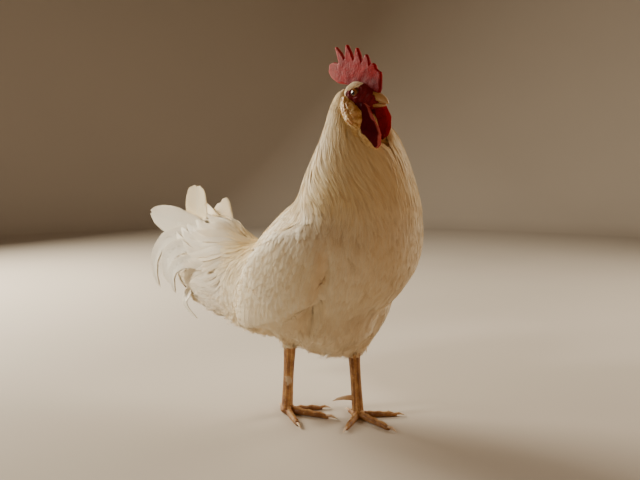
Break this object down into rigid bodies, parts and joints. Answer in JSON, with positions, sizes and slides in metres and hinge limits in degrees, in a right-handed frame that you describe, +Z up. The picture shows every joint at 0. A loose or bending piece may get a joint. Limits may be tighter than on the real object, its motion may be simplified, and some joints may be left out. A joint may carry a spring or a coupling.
{
  "type": "rooster",
  "caption": "Life-size standing white rooster with a red single comb and wattles, a fanned tail and yellow legs, still and without joints.",
  "frame": {"origin": "on the floor, under the middle of the bird's box", "axes": "+Z up from the floor, the rooster faces -Y, and its left side is towards +X"},
  "size_m": [0.1992, 0.4916, 0.5036],
  "materials": {
    "plumage": "soft matt feathers",
    "flesh": "satin skin with fine bumps",
    "earlobe": "matt creased skin",
    "beak": "satin horn",
    "horn": "satin horn",
    "leg_scales": "satin scales",
    "eye": "wet gloss"
  },
  "bodies": {
    "root": {"beak_lower": "beak", "beak_upper": "beak", "claw_hind_left": "horn", "claw_hind_right": "horn", "claw_inner_left": "horn", "claw_inner_right": "horn", "claw_middle_left": "horn", "claw_middle_right": "horn", "claw_outer_left": "horn", "claw_outer_right": "horn", "comb": "flesh", "earlobe_left": "earlobe", "earlobe_right": "earlobe", "eye_left": "eye", "eye_right": "eye", "foot_left": "leg_scales", "foot_right": "leg_scales", "head": "flesh", "neck": "plumage", "shank_left": "leg_scales", "shank_right": "leg_scales", "spur_left": "horn", "spur_right": "horn", "tail_fan_low_left": "plumage", "tail_fan_low_right": "plumage", "tail_fan_top_left": "plumage", "tail_fan_top_right": "plumage", "tail_root": "plumage", "tail_sickle_inner_left": "plumage", "tail_sickle_inner_right": "plumage", "tail_sickle_low_right": "plumage", "tail_sickle_outer_left": "plumage", "tail_sickle_outer_right": "plumage", "tail_sickle_third_right": "plumage", "thigh_left": "plumage", "thigh_right": "plumage", "toe_hind_left": "leg_scales", "toe_hind_right": "leg_scales", "toe_inner_left": "leg_scales", "toe_inner_right": "leg_scales", "toe_middle_left": "leg_scales", "toe_middle_right": "leg_scales", "toe_outer_left": "leg_scales", "toe_outer_right": "leg_scales", "trunk": "plumage", "wattle_left": "flesh", "wattle_right": "flesh", "wing_left": "plumage", "wing_right": "plumage"}
  },
  "joints": []
}
